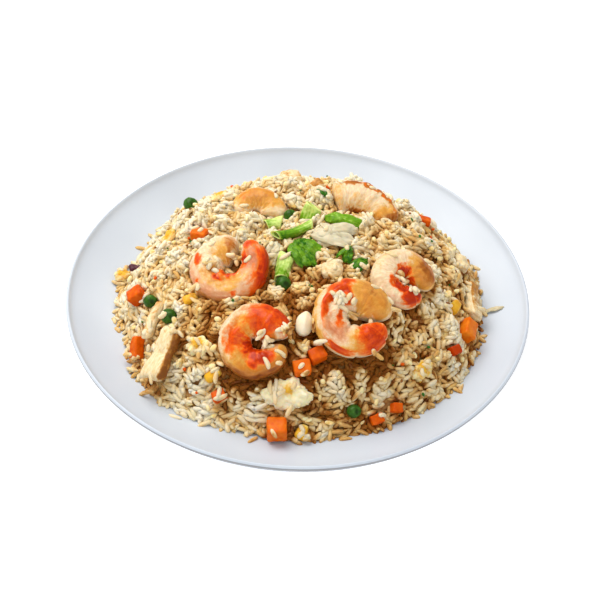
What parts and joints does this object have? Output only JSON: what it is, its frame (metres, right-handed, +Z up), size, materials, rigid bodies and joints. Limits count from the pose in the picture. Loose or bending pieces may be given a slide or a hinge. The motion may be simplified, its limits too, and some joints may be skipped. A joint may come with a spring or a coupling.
{
  "type": "fried rice dish",
  "caption": "Fried rice with curled prawns, chicken, diced carrot, peas, egg and spring onion, heaped on a round white coupe plate.",
  "frame": {"origin": "centre of the plate's foot ring, on the surface the plate stands on", "axes": "+Z up; -Y towards the diner; +X to the diner's right"},
  "size_m": [0.2538, 0.2538, 0.0643],
  "materials": {
    "porcelain": "glossy bluish-white glaze",
    "rice": "soft oily grains with soy tint",
    "prawn": "moist cream flesh with red-orange bands and golden sear",
    "chicken": "pale fibrous flesh with golden-brown fried side",
    "carrot": "moist bright orange",
    "pea": "moist dark green wrinkled skin",
    "egg": "soft pale yellow curd",
    "sweetcorn": "moist golden yellow",
    "spring_onion": "wet bright green leaf",
    "onion_white": "wet translucent white",
    "garlic": "smooth cream"
  },
  "bodies": {
    "root": {"carrot_1": "carrot", "carrot_10": "carrot", "carrot_11": "carrot", "carrot_12": "carrot", "carrot_2": "carrot", "carrot_3": "carrot", "carrot_4": "carrot", "carrot_5": "carrot", "carrot_6": "carrot", "carrot_7": "carrot", "carrot_8": "carrot", "carrot_9": "carrot", "chicken_back": "chicken", "chicken_back_right": "chicken", "chicken_centre": "chicken", "chicken_left": "chicken", "chicken_left_sliver": "chicken", "chicken_right": "chicken", "chicken_white_right": "chicken", "corn_1": "sweetcorn", "corn_2": "sweetcorn", "corn_3": "sweetcorn", "corn_4": "sweetcorn", "egg_back": "egg", "egg_back_left": "egg", "egg_front": "egg", "egg_front_left": "egg", "egg_front_right": "egg", "egg_left": "egg", "fried_rice": "rice", "garlic_clove": "garlic", "onion_white_1": "onion_white", "onion_white_2": "onion_white", "pea_1": "pea", "pea_2": "pea", "pea_3": "pea", "pea_4": "pea", "pea_5": "pea", "pea_6": "pea", "plate": "porcelain", "prawn_back_left": "prawn", "prawn_back_right": "prawn", "prawn_front_left": "prawn", "prawn_front_right": "prawn", "prawn_left": "prawn", "prawn_right": "prawn", "spring_onion_1": "spring_onion", "spring_onion_2": "spring_onion", "spring_onion_3": "spring_onion", "spring_onion_4": "spring_onion", "spring_onion_5": "spring_onion", "spring_onion_6": "spring_onion", "spring_onion_7": "spring_onion", "spring_onion_8": "spring_onion", "spring_onion_9": "spring_onion"}
  },
  "joints": []
}
